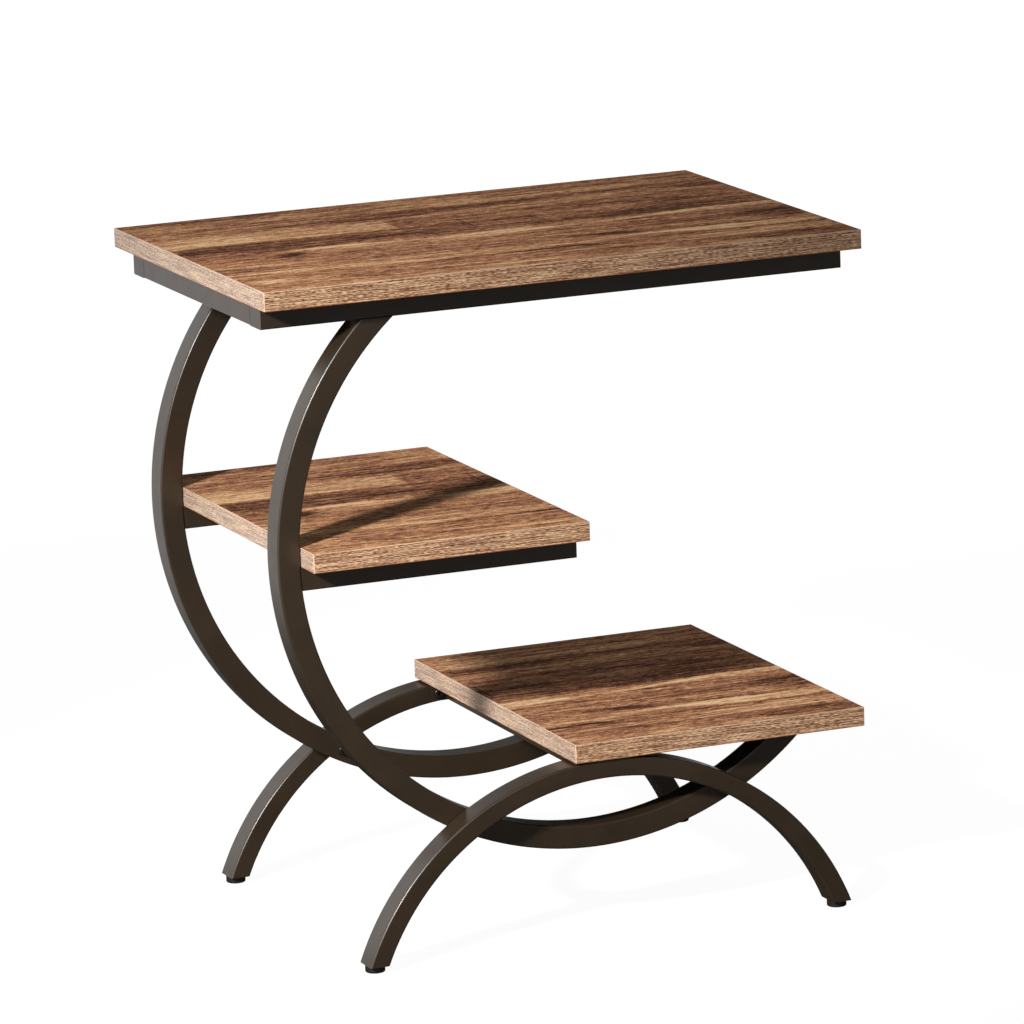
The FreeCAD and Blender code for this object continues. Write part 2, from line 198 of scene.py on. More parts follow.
floor_paper, tree = new_material("studio_paper_white")
paper = add_node(tree, "BsdfDiffuse", {"Color": (FLOOR_PALE, FLOOR_PALE, FLOOR_PALE, 1.0)})
shadow_paper = add_node(tree, "Math", {0: whiteness(tree, 0.0), 1: THIN_PAPER}, operation="MULTIPLY")
thin_paper = add_node(tree, "BsdfDiffuse", {"Color": shadow_paper})
floor_place = add_node(tree, "TexCoord", output="Object")
distance = add_node(tree, "VectorMath", {0: floor_place}, output="Value", operation="LENGTH")
paleness = add_node(tree, "MapRange", {"Value": distance, "From Min": NEAR_FLOOR, "From Max": FAR_FLOOR,
                                       "To Min": NEAR_GLOW, "To Max": 1.0})
sideways = add_node(tree, "SeparateXYZ", {"Vector": floor_place}, output="X")
backward = add_node(tree, "SeparateXYZ", {"Vector": floor_place}, output="Y")
leftward = add_node(tree, "Math", {0: -LEFT_SHIFT, 1: sideways}, operation="SUBTRACT")
away = add_node(tree, "Math", {0: leftward, 1: backward}, operation="MAXIMUM")
# Painted shade near the table for mirrored rays, lifting to dim further out.
near_painted_shade = add_node(tree, "MapRange", {"Value": distance, "From Min": SHADED_TO, "From Max": DIM_FROM,
                                         "To Min": PAINTED_FLOOR_SHADE, "To Max": DIM_PAPER})
mirrored = add_node(tree, "MapRange", {"Value": away, "From Min": DIM_TO, "From Max": PALE_FROM,
                                       "To Min": near_painted_shade, "To Max": PALE_PAPER})
strength = add_node(tree, "Math", {0: paleness, 1: whiteness(tree, mirrored)}, operation="MULTIPLY")
glow = add_node(tree, "Emission", {"Color": (1.0, 1.0, 1.0, 1.0), "Strength": strength})
white = add_node(tree, "AddShader", {0: thin_paper, 1: glow})
both = add_node(tree, "MixShader", {0: looked_at(tree), 1: paper, 2: white})
add_node(tree, "OutputMaterial", {"Surface": both})
floor_data.materials.append(floor_paper)
print(f"paper of {len(tree.nodes)} nodes")

# %% [markdown]
# ## The room
# A plain world light fills the shadows, and together with the key lamp it shows a colour
# about as it is written. The eye sees only white behind the table. Mirrored rays see a
# dim room with a wide white panel at its left side. The coat shows the panel where a
# tube's outer face turns that way, and its soft edge is why the arches fade to dark.

# %% The world
ROOM_LIGHT = 0.30
DIM_ROOM = 0.15
# Both are values of X of a ray's direction, which is negative to the left.
PANEL_FADES = 0.25
PANEL_FULL = -0.25

world = bpy.data.worlds.new("white_room")
bpy.context.scene.world = world
world.use_nodes = True
tree = world.node_tree
tree.nodes.clear()
direction = add_node(tree, "TexCoord", output="Generated")
sideways = add_node(tree, "SeparateXYZ", {"Vector": direction}, output="X")
panel = add_node(tree, "MapRange", {"Value": sideways, "From Min": PANEL_FADES, "From Max": PANEL_FULL,
                                    "To Min": DIM_ROOM, "To Max": 1.0})
room = add_node(tree, "Background", {"Color": (1.0, 1.0, 1.0, 1.0), "Strength": ROOM_LIGHT})
backdrop = add_node(tree, "Background", {"Color": (1.0, 1.0, 1.0, 1.0), "Strength": whiteness(tree, panel)})
both = add_node(tree, "MixShader", {0: looked_at(tree), 1: room, 2: backdrop})
add_node(tree, "OutputWorld", {"Surface": both})
print(f"room light {ROOM_LIGHT}")

# %% [markdown]
# ## The key lamp
# The shadows in the picture reach 1.42 to the right and 1.06 to the back for each unit of
# height, which gives the lamp's direction. A sun would light the table evenly, but the top
# board gets less and less light towards its right end, as if it left a lamp's beam. So
# the lamp is a spot with a soft-edged beam, and its size softens the shadows.

# %% The lamp
# Aim and reach in metres, beam and softness in degrees, and power in watts.
SHADOW_SIDE = 1.42
SHADOW_BACK = 1.06
KEY_AIM = Vector((-0.095, 0.007, 0.172))
KEY_REACH = 4.0
KEY_BEAM = 20.6
KEY_SOFTNESS = 4.5
KEY_POWER = 1050.0

key_direction = Vector((-SHADOW_SIDE, -SHADOW_BACK, 1.0)).normalized()
key_light = bpy.data.lights.new("key_lamp", "SPOT")
key_light.energy = KEY_POWER
key_light.spot_size = math.radians(KEY_BEAM)
key_light.spot_blend = 1.0
key_light.shadow_soft_size = KEY_REACH * math.tan(math.radians(KEY_SOFTNESS / 2))
key_lamp = bpy.data.objects.new("key_lamp", key_light)
key_lamp.location = KEY_AIM + key_direction * KEY_REACH
key_lamp.rotation_euler = (-key_direction).to_track_quat("-Z", "Y").to_euler()
bpy.context.scene.collection.objects.link(key_lamp)
bpy.context.scene.view_settings.view_transform = "Standard"
print(f"key lamp shines from {[round(v, 2) for v in key_direction]}")

# %% [markdown]
# ## Patterns in millimetres
# Wood grain, a coat's ripple and moulded plastic all have a real size. Noise that is
# stretched to a length, a width and a height in millimetres stands in for each of them.
# It reads the object's own coordinates, so the pattern stays put in every view.

# %% Noise with a real size
def marks(tree, place, sizes, shift=(0.0, 0.0, 0.0), detail=4.0, roughness=0.55, distortion=0.0):
    """Marks of the given sizes in millimetres along X, Y and Z, as a tone from -0.5 to 0.5."""
    scaled = add_node(tree, "Mapping", {"Vector": place, "Location": shift,
                                        "Scale": [1000.0 / size for size in sizes]})
    noise = add_node(tree, "TexNoise", {"Vector": scaled, "Scale": 1.0, "Detail": detail,
                                        "Roughness": roughness, "Distortion": distortion})
    return add_node(tree, "Math", {0: noise, 1: 0.5}, operation="SUBTRACT")


def sum_of(tree, start, parts):
    """A start tone plus each part times its weight."""
    total = start
    for value, weight in parts:
        total = add_node(tree, "Math", {0: value, 1: weight, 2: total}, operation="MULTIPLY_ADD")
    return total


def both_ways(tree, vector):
    """A vector's X and Y without their signs, because left and right, and front and back, are alike."""
    x = add_node(tree, "SeparateXYZ", {"Vector": vector}, output="X")
    y = add_node(tree, "SeparateXYZ", {"Vector": vector}, output="Y")
    return [add_node(tree, "Math", {0: value}, operation="ABSOLUTE") for value in (x, y)]


# Marks that are endlessly long along an axis don't change along it.
FLAT = math.inf
print("noise ready")

# %% [markdown]
# ## Walnut-pattern laminate
# The boards are chipboard under a printed paper that is sealed in melamine resin. The
# print shows long walnut streaks along X, from dark heartwood to honey-coloured sapwood.
# A picture of wood could be laid on the boards, but a pattern made of nodes stays sharp
# at any size. It is built as a tone from 0, dark, to 1, light. All three boards are cut
# from the same sheet, so one pattern in the table's own coordinates serves them all.
# The largest streaks are listed one by one, one oval for each.

# %% The streaks of the print
# Each streak: tone change, middle x and y, half length, half width, slope in degrees, edge softness.
STREAKS = [
    (-0.20, -200, 192, 100, 12, 0.0, 0.6),     # greyish back corner
    (+0.16, 10, 178, 60, 9, 0.0, 0.8),
    (+0.18, -125, 160, 65, 8, -2.0, 0.6),      # broken honey streaks near the back edge
    (+0.22, -40, 146, 22, 8, 0.0, 0.5),
    (+0.22, 45, 152, 85, 8, -1.0, 0.6),
    (+0.16, 215, 154, 90, 7, -1.0, 0.6),
    (+0.12, -235, 150, 60, 6, 0.0, 0.7),
    (-0.24, -40, 121, 160, 13, 2.0, 0.5),      # dark band behind the middle
    (-0.16, 80, 125, 70, 9, 3.0, 0.6),
    (-0.24, 265, 119, 45, 11, 0.0, 0.6),
    (-0.12, 160, 134, 130, 6, 0.0, 0.7),
    (+0.20, -180, 98, 120, 4, 2.0, 0.6),       # thin light streak over the honey plank
    (+0.22, 20, 102, 110, 5, 6.0, 0.6),
    (+0.16, 90, 96, 80, 4, 4.0, 0.6),
    (+0.12, 140, 112, 60, 5, 3.0, 0.7),
    (+0.12, -235, 72, 60, 18, 0.0, 0.5),       # the honey plank at the left
    (-0.10, -150, 80, 40, 7, 0.0, 0.8),
    (+0.16, 146, 45, 36, 20, -10.0, 0.8),
    (-0.14, 80, 80, 18, 6, -20.0, 0.8),
    (-0.14, 132, 62, 22, 8, 10.0, 0.8),
    (-0.20, 226, 52, 30, 9, 0.0, 0.8),
    (-0.12, -190, 22, 140, 20, 0.0, 0.5),      # dark heartwood across the middle
    (-0.14, -160, 16, 170, 4, 0.0, 0.7),
    (-0.12, -240, 41, 60, 5, 0.0, 0.7),
    (-0.22, 185, 10, 130, 16, 1.0, 0.5),
    (-0.12, 160, 4, 60, 8, 0.0, 0.7),
    (+0.34, -150, -13, 55, 5, -2.0, 0.5),      # the fine-textured yellow streak
    (+0.22, -90, -24, 70, 9, 0.0, 0.6),
    (+0.36, 5, -23, 60, 9, 2.0, 0.4),
    (+0.26, 110, -20, 110, 4, 3.0, 0.5),
    (+0.32, 245, -12, 90, 7, 2.0, 0.5),
    (+0.20, -60, -38, 110, 4, 1.0, 0.7),
    (-0.42, -203, -32, 19, 13, 0.0, 0.7),      # the knot
    (-0.20, -193, -29, 8, 7, 0.0, 0.7),
    (-0.30, 63, -40, 10, 4, 30.0, 0.8),
    (-0.26, 146, -40, 11, 4, 30.0, 0.8),
    (-0.26, 275, -62, 50, 28, 0.0, 0.7),
    (-0.12, 150, -62, 130, 16, 0.0, 0.8),
    (-0.36, 98, -91, 28, 6, -6.0, 0.6),
    (-0.10, -80, -84, 190, 8, 0.0, 0.8),
    (+0.14, -245, -72, 50, 6, 0.0, 0.8),
    (+0.30, -250, -107, 48, 5, -4.0, 0.5),     # the long wavy light streak
    (+0.30, -150, -119, 75, 5, -3.0, 0.5),
    (+0.26, 0, -117, 85, 5, 1.0, 0.5),
    (+0.24, 95, -108, 45, 5, 6.0, 0.6),
    (+0.42, 215, -112, 95, 8, -4.0, 0.4),
    (-0.24, -80, -132, 70, 3, 0.0, 0.8),
    (-0.34, 45, -134, 24, 6, -15.0, 0.7),      # dark marks under it
    (-0.28, 10, -131, 45, 4, 4.0, 0.8),
    (-0.24, 78, -126, 11, 4, 30.0, 0.8),
    (-0.24, 155, -139, 20, 4, 15.0, 0.8),
    (-0.20, 200, -126, 100, 3, -2.0, 0.7),
    (+0.22, 220, -150, 95, 14, 0.0, 0.6),
    (+0.22, -262, -152, 25, 20, 0.0, 0.7),
    (+0.14, -225, -165, 20, 16, 0.0, 0.8),
    (-0.30, -180, -172, 34, 4, -22.0, 0.7),
    (-0.24, 235, -178, 70, 8, 0.0, 0.6),
    (-0.14, 60, -166, 120, 6, 0.0, 0.8),
    (+0.26, -28, -180, 60, 8, 0.0, 0.6),
    (+0.22, 90, -192, 26, 7, 0.0, 0.6),
    (+0.18, 178, -192, 36, 6, 0.0, 0.6),
    (+0.20, -240, -196, 70, 5, 0.0, 0.7),
]
print(f"{len(STREAKS)} streaks")

# %% The planks of the print
# The print copies glued planks. Each: tone change, x from and to, y from and to. The last is a crack.
PLANKS = [
    (+0.20, -400, -66, 50, 93),
    (-0.06, -66, 400, 28, 93),
    (-0.12, -400, 70, -9, 48),
    (-0.50, -1.8, -0.4, 12, 66),
]
print(f"{len(PLANKS)} planks")

# %% Streaks as soft ovals
# An oval fades towards its edge, so it is drawn larger than the streak that shows.
OVAL_LENGTH = 1.15
OVAL_WIDTH = 1.45


def streak_tones(tree, point):
    """Each streak's tone change at a point in millimetres."""
    tones = []
    for change, x, y, length, width, slope, soft in STREAKS:
        size = (length * OVAL_LENGTH, width * OVAL_WIDTH, 1.0)
        oval = add_node(tree, "Mapping", {"Vector": point, "Location": (x, y, 0.0), "Scale": size,
                                          "Rotation": (0.0, 0.0, math.radians(slope))}, vector_type="TEXTURE")
        depth = add_node(tree, "TexGradient", {"Vector": oval}, output="Fac", gradient_type="SPHERICAL")
        tones.append(add_node(tree, "MapRange", {"Value": depth, "From Max": soft, "To Max": change},
                              interpolation_type="SMOOTHSTEP"))
    return tones


print(f"ovals {OVAL_LENGTH} times as long and {OVAL_WIDTH} times as wide")

# %% Planks with straight ends
PLANK_END_BLUR = 0.5
PLANK_SIDE_BLUR = 2.0


def plank_tones(tree, point, straight):
    """Each plank's tone change. Its ends are straight, and its long edges follow the grain."""
    across = add_node(tree, "SeparateXYZ", {"Vector": point}, output="Y")
    along = add_node(tree, "SeparateXYZ", {"Vector": straight}, output="X")
    tones = []
    for change, x_from, x_to, y_from, y_to in PLANKS:
        tone = change
        for value, edge, blur in ((along, x_from, PLANK_END_BLUR), (along, x_to, -PLANK_END_BLUR),
                                  (across, y_from, PLANK_SIDE_BLUR), (across, y_to, -PLANK_SIDE_BLUR)):
            inside = add_node(tree, "MapRange", {"Value": value, "From Min": edge - blur,
                                                 "From Max": edge + blur}, interpolation_type="SMOOTHSTEP")
            tone = add_node(tree, "Math", {0: inside, 1: tone}, operation="MULTIPLY")
        tones.append(tone)
    return tones


print(f"planks blurred by {PLANK_END_BLUR} mm at their ends")

# %% [markdown]
# The streaks and planks are pulled about by noise, a few millimetres sideways and more
# along the grain, which frays their ends into fibres.

# %% Pull the streaks into fibres
FIBRE_PULL = 46.0
SWAY = 9.0

walnut, tree = new_material("walnut_print_laminate")
place = add_node(tree, "TexCoord", output="Object")
point = add_node(tree, "Mapping", {"Vector": place, "Scale": (1000.0, 1000.0, 0.0)})
sway = marks(tree, place, (90.0, 50.0, FLAT), detail=2.0, roughness=0.5)
fibres = marks(tree, place, (60.0, 1.8, FLAT), shift=(4.0, 1.0, 0.0), detail=3.0, roughness=0.6)
pull = add_node(tree, "CombineXYZ", {"X": sum_of(tree, 0.0, [(fibres, FIBRE_PULL * 2)]),
                                     "Y": sum_of(tree, 0.0, [(sway, SWAY * 2)])})
grown = add_node(tree, "VectorMath", {0: point, 1: pull}, operation="ADD")
print(f"pulled by up to about {FIBRE_PULL:.0f} mm along the grain")

# %% [markdown]
# Noise of six sizes gives the wood between the streaks, from broad bands to fine dashes
# and the short rays that cross the grain. Each is stretched as it is in sawn walnut.

# %% The wood's own figure
MIDDLE_TONE = 0.53

bands = marks(tree, place, (260.0, 18.0, FLAT), roughness=0.6, distortion=0.3)
stripes = marks(tree, place, (110.0, 5.0, FLAT), shift=(7.0, 3.0, 0.0), roughness=0.65, distortion=0.3)
blotches = marks(tree, place, (36.0, 8.0, FLAT), shift=(3.0, 7.0, 0.0), detail=3.0, roughness=0.6,
                 distortion=0.5)
mottle = marks(tree, place, (12.0, 4.0, FLAT), shift=(5.0, 2.0, 0.0), detail=3.0, roughness=0.6,
               distortion=0.5)
dashes = marks(tree, place, (8.5, 1.5, FLAT), shift=(2.0, 9.0, 0.0), detail=3.0, roughness=0.55)
rays = marks(tree, place, (1.8, 6.0, FLAT), shift=(8.0, 6.0, 0.0), detail=2.0, roughness=0.5)
tone = sum_of(tree, MIDDLE_TONE, [(bands, 0.7), (stripes, 1.25), (blotches, 0.65), (mottle, 0.8),
                                  (dashes, 1.4), (rays, 0.55)])
tone = sum_of(tree, tone, [(change, 1.0) for change in streak_tones(tree, grown)])
tone = sum_of(tree, tone, [(change, 1.0) for change in plank_tones(tree, grown, point)])

# Pores are under 1 mm wide and up to 9 mm long, and show as dark dashes where the noise is lowest.
pores = marks(tree, place, (9.0, 0.8, FLAT), shift=(1.0, 4.0, 0.0), detail=2.0, roughness=0.5)
pore_tone = add_node(tree, "MapRange", {"Value": pores, "From Min": -0.20, "From Max": -0.08,
                                        "To Min": -0.35, "To Max": 0.0}, interpolation_type="SMOOTHSTEP")
tone = sum_of(tree, tone, [(pore_tone, 1.0)])
print(f"tone of {len(tree.nodes)} nodes")

# %% [markdown]
# The resin is matt, so the print shows its own colours and hardly mirrors the room. The
# sheet takes a faint relief from the dashes, as it is pressed with a grained plate.
# The underside is drawn as a plain dark sheet, which is painted shade: it darkens what the steel mirrors
# under the boards.

# %% The laminate
wood = add_node(tree, "ValToRGB", {"Fac": tone}, stops=[
    (0.0, "#38241a"), (0.20, "#5b3c2d"), (0.38, "#845740"), (0.52, "#a37052"),
    (0.66, "#b8855f"), (0.82, "#d0a276"), (1.0, "#e6c396")])
upward = add_node(tree, "SeparateXYZ", {"Vector": add_node(tree, "TexCoord", output="Normal")}, output="Z")
underside = add_node(tree, "Math", {0: upward, 1: -0.5}, operation="LESS_THAN")
# The print on top, and the dark underside as painted shade.
print_and_painted_underside = add_node(tree, "Mix", {0: underside, 6: wood, 7: tint("#221d19")}, output=2, data_type="RGBA")
grain_relief = add_node(tree, "Bump", {"Height": dashes, "Strength": 0.10, "Distance": 0.0003})
resin = add_node(tree, "BsdfPrincipled", {"Base Color": print_and_painted_underside, "Roughness": 0.65,
                                          "Specular IOR Level": 0.015, "Normal": grain_relief})
add_node(tree, "OutputMaterial", {"Surface": resin})
print(f"walnut print of {len(tree.nodes)} nodes")

# %% [markdown]
# ## Edge banding
# The cut edges are covered with a thin strip of ABS in a paler walnut print with fine
# wavy lines. Its grain always runs along the strip, so it follows X on the front and
# back strips and Y on the end strips. The strip is trimmed flush with the board, which
# leaves a brown line underneath. The light line along its top edge and its corners is a
# painted highlight. The end strips carry a painted sheen of pale grey for the light the smoother ABS mirrors
# from the panel.

# %% The edge band's lines
# On the end strips the figure is stronger, under a share of pale grey that is a painted sheen.
END_CONTRAST = 1.45
END_PAINTED_SHEEN = 0.30

edge_band, tree = new_material("walnut_edge_band_abs")
facing = add_node(tree, "TexCoord", output="Normal")
facing_x, facing_y = both_ways(tree, facing)
on_end = add_node(tree, "Math", {0: facing_x, 1: 0.5}, operation="GREATER_THAN")
place = add_node(tree, "TexCoord", output="Object")
x_place = add_node(tree, "SeparateXYZ", {"Vector": place}, output="X")
y_place = add_node(tree, "SeparateXYZ", {"Vector": place}, output="Y")
height = add_node(tree, "SeparateXYZ", {"Vector": place}, output="Z")
along = add_node(tree, "Mix", {0: on_end, 2: x_place, 3: y_place})
strip = add_node(tree, "CombineXYZ", {"X": along, "Y": height})

lines = marks(tree, strip, (45.0, 0.65, FLAT), detail=1.0, roughness=0.5, distortion=0.5)
ticks = marks(tree, strip, (5.0, 0.60, FLAT), shift=(3.0, 5.0, 0.0), detail=1.0, roughness=0.5)
cloud = marks(tree, strip, (60.0, 9.0, FLAT), shift=(1.0, 8.0, 0.0), detail=3.0, roughness=0.5)
contrast = sum_of(tree, 1.0, [(on_end, END_CONTRAST - 1.0)])
figure = sum_of(tree, 0.0, [(lines, 2.4), (ticks, 2.4), (cloud, 0.1)])
band = add_node(tree, "ValToRGB", {"Fac": sum_of(tree, 0.5, [(figure, contrast)])}, stops=[
    (0.02, "#5c3627"), (0.28, "#82553d"), (0.50, "#a1785a"), (0.72, "#c0976f"), (0.97, "#dfbf9a")])
# Painted sheen: the end strips are mixed toward pale grey.
painted_sheen_share = sum_of(tree, 0.0, [(on_end, END_PAINTED_SHEEN)])
band = add_node(tree, "Mix", {0: painted_sheen_share, 6: band, 7: tint("#c0b3a8")}, output=2, data_type="RGBA")
print(f"lines of {len(tree.nodes)} nodes")

# %% The edge band's trim line and painted highlights
# A trim line is half a millimetre wide on the real board, and a little wider here so that it shows. The
# painted highlights along the top edges are as wide.
TRIM_LINE = 0.8
CORNER_HIGHLIGHT_SHARE = 0.6
TOP_HIGHLIGHT_SHARE = 0.5
UNDER_SHARE = 0.75

board_levels = [span(nodes[f"{board}_board"].data, 2) for board in ("top", "middle", "lower")]
# A surface that faces X and Y at once is on an upright rounded corner.
at_corner = add_node(tree, "Math", {0: facing_x, 1: facing_y}, operation="MULTIPLY")
# A painted highlight on these corners, where the rounded edge would catch the lamp.
painted_highlight = add_node(tree, "MapRange", {"Value": at_corner, "From Min": 0.1, "From Max": 0.4,
                                         "To Max": CORNER_HIGHLIGHT_SHARE})
brown_line = 0.0
for under, over in board_levels:
    at_under = add_node(tree, "Math", {0: height, 1: under * MM, 2: TRIM_LINE * MM}, operation="COMPARE")
    at_top = add_node(tree, "Math", {0: height, 1: over * MM, 2: TRIM_LINE * MM}, operation="COMPARE")
    soft_under = sum_of(tree, 0.0, [(at_under, UNDER_SHARE)])
    top_highlight = sum_of(tree, 0.0, [(at_top, TOP_HIGHLIGHT_SHARE)])
    brown_line = add_node(tree, "Math", {0: soft_under, 1: brown_line}, operation="MAXIMUM")
    painted_highlight = add_node(tree, "Math", {0: top_highlight, 1: painted_highlight}, operation="MAXIMUM")
# Painted highlights in pale tan on corners and top edges, and the brown trim line under each board.
band = add_node(tree, "Mix", {0: painted_highlight, 6: band, 7: tint("#dcb899")}, output=2, data_type="RGBA")
band = add_node(tree, "Mix", {0: brown_line, 6: band, 7: tint("#a05a30")}, output=2, data_type="RGBA")
line_relief = add_node(tree, "Bump", {"Height": ticks, "Strength": 0.12, "Distance": 0.0002})
abs_skin = add_node(tree, "BsdfPrincipled", {"Base Color": band, "Roughness": 0.42,
                                             "Specular IOR Level": 0.5, "Normal": line_relief})
add_node(tree, "OutputMaterial", {"Surface": abs_skin})
print(f"edge band of {len(tree.nodes)} nodes")

# %% [markdown]
# ## Powder-coated steel
# The tubes are sprayed with polyester powder and baked. The dark bronze coat is smooth
# with a faint orange-peel ripple. It is nearly black where it mirrors the dim side of
# the room, and grey where it mirrors the panel. Where the cross rails of the top frame
# are welded to the long rails, the ground joint is duller and shows as a line.

# %% The coat
# The ground joints are on the frame's end faces, where the cross rails' ends meet the long rails.
# Half a joint's width, and how far in from the end face it is drawn.
WELD_LINE = 0.6
WELD_DEPTH = 3.5
WELD_DULLNESS = 0.45

frame_end = span(nodes["top_rail_right"].data, 0)[1]
weld_place = span(nodes["top_rail_right"].data, 1)[1]
steel, tree = new_material("bronze_powder_coat")
place = add_node(tree, "TexCoord", output="Object")
cloud = marks(tree, place, (45.0, 45.0, 45.0), roughness=0.6)
coat = add_node(tree, "ValToRGB", {"Fac": sum_of(tree, 0.5, [(cloud, 1.0)])}, stops=[
    (0.30, "#2a2015"), (0.70, "#322619")])
rubbed = marks(tree, place, (16.0, 16.0, 16.0), shift=(4.0, 4.0, 4.0), roughness=0.6)
dullness = add_node(tree, "MapRange", {"Value": rubbed, "From Min": -0.25, "From Max": 0.25,
                                       "To Min": 0.28, "To Max": 0.36})
out_x, out_y = both_ways(tree, place)
at_frame_end = add_node(tree, "Math", {0: out_x, 1: (frame_end - WELD_DEPTH) * MM}, operation="GREATER_THAN")
at_weld = add_node(tree, "Math", {0: out_y, 1: weld_place * MM, 2: WELD_LINE * MM}, operation="COMPARE")
weld = add_node(tree, "Math", {0: at_frame_end, 1: at_weld}, operation="MULTIPLY")
# The ripple is 2 to 3 mm long and hardly shows.
ripple = marks(tree, place, (2.5, 2.5, 2.5), shift=(9.0, 9.0, 9.0), detail=1.0, roughness=0.4)
peel = add_node(tree, "Bump", {"Height": ripple, "Strength": 0.012, "Distance": 0.0002})
powder = add_node(tree, "BsdfPrincipled", {"Base Color": coat, "Specular IOR Level": 0.60, "Normal": peel,
                                           "Roughness": sum_of(tree, dullness, [(weld, WELD_DULLNESS)])})
add_node(tree, "OutputMaterial", {"Surface": powder})
print(f"coat of {len(tree.nodes)} nodes")

# %% [markdown]
# ## Plastic and fasteners
# The feet and the plugs in the legs are moulded black plastic with a fine matt grain.
# The feet's studs and the wood screws are zinc plated, which is bright and slightly
# cloudy. The bolts are blackened in a hot bath, and the weld nuts are left bare. They
# differ only in a few values, so one recipe makes them all from a table.

# %% Small materials
# Name: dark and light colour, roughness, metallic, grain in millimetres, specular level.
# A moulded grain is really under half a millimetre, and is drawn coarser so that it shows.
SMALL_FINISHES = {
    "moulded_black_nylon": ("#161514", "#201e1c", 0.45, 0.0, 2.0, 0.4),
    "moulded_black_polythene": ("#191817", "#242220", 0.50, 0.0, 2.0, 0.4),
    "zinc_plated_steel": ("#8f9294", "#b4b6b6", 0.32, 1.0, 3.0, 0.5),
    "black_oxide_steel": ("#232120", "#35312e", 0.26, 0.6, 3.0, 0.5),
    "bare_steel": ("#77746f", "#98948e", 0.40, 1.0, 3.0, 0.5),
}

small_materials = {}
for name, (dark, light, roughness, metallic, grain, level) in SMALL_FINISHES.items():
    material, tree = new_material(name)
    place = add_node(tree, "TexCoord", output="Object")
    speckle = marks(tree, place, (grain, grain, grain), detail=3.0, roughness=0.6)
    colour = add_node(tree, "ValToRGB", {"Fac": sum_of(tree, 0.5, [(speckle, 1.0)])},
                      stops=[(0.3, dark), (0.7, light)])
    dullness = add_node(tree, "MapRange", {"Value": speckle, "From Min": -0.3, "From Max": 0.3,
                                           "To Min": roughness - 0.06, "To Max": roughness + 0.06})
    relief = add_node(tree, "Bump", {"Height": speckle, "Strength": 0.1, "Distance": 0.0002})
    skin = add_node(tree, "BsdfPrincipled", {"Base Color": colour, "Roughness": dullness, "Normal": relief,
                                             "Metallic": metallic, "Specular IOR Level": level})
    add_node(tree, "OutputMaterial", {"Surface": skin})
    small_materials[name] = material
print(f"small materials: {', '.join(small_materials)}")

# %% [markdown]
# ## Bent tubes
# The arcs and arches are rectangular tube bent to a circle. The measured solids have
# facets along the bend, which break the highlight on the corners. They could be
# smoothed, but flat faces would bulge. Instead each tube is made again: its rounded
# profile is a plane with beveled corners and an inset for the wall, which is spun round
# the bend's centre in fine steps and cut off level at its ends.

# %% The tube's profile
# The solids' corners have a radius of 1.6 mm. It is a little larger here, so that their light line shows.
TUBE_CORNER = 2.0
CORNER_STEPS = 4
TUBE_WALL = 1.2


def tube_profile(thickness, depth):
    """A flat ring in the XY plane: the section of a tube with rounded corners."""
    bm = bmesh.new()
    bmesh.ops.create_grid(bm, x_segments=1, y_segments=1, size=0.5)
    bmesh.ops.scale(bm, verts=bm.verts, vec=(thickness * MM, depth * MM, 1.0))
    bmesh.ops.bevel(bm, geom=bm.verts[:], offset=TUBE_CORNER * MM, offset_type="OFFSET",
                    affect="VERTICES", segments=CORNER_STEPS, profile=0.5, material=-1)
    bmesh.ops.inset_region(bm, faces=bm.faces[:], thickness=TUBE_WALL * MM, use_boundary=True,
                           use_even_offset=True)
    middle = min(bm.faces, key=lambda face: max(vert.co.length for vert in face.verts))
    bmesh.ops.delete(bm, geom=[middle], context="FACES_ONLY")
    return bm


print(f"walls of {TUBE_WALL} mm")

# %% Cut a tube level
def cut_level(bm, centre_x, height, side, x_from, x_to):
    """Cuts off what lies above (side 1) or below (side -1) a height, between two places along X.

    The rims that this leaves, at most one on each side of the bend's centre, are closed.
    """
    faces = [f for f in bm.faces if x_from * MM < f.calc_center_median().x < x_to * MM]
    edges = list({edge for face in faces for edge in face.edges})
    verts = list({vert for face in faces for vert in face.verts})
    cut = bmesh.ops.bisect_plane(bm, geom=verts + edges + faces, plane_co=(0.0, 0.0, height * MM),
                                 plane_no=(0.0, 0.0, side), clear_outer=True)
    rim = [e for e in cut["geom_cut"] if isinstance(e, bmesh.types.BMEdge) and len(e.link_faces) == 1]
    for half in (-1.0, 1.0):
        loops = [e for e in rim if (e.verts[0].co.x - centre_x * MM) * half > 0]
        if loops:
            bmesh.ops.bridge_loops(bm, edges=loops)


print("cut ready")

# %% Spin a tube
DEGREES_PER_STEP = 1.5


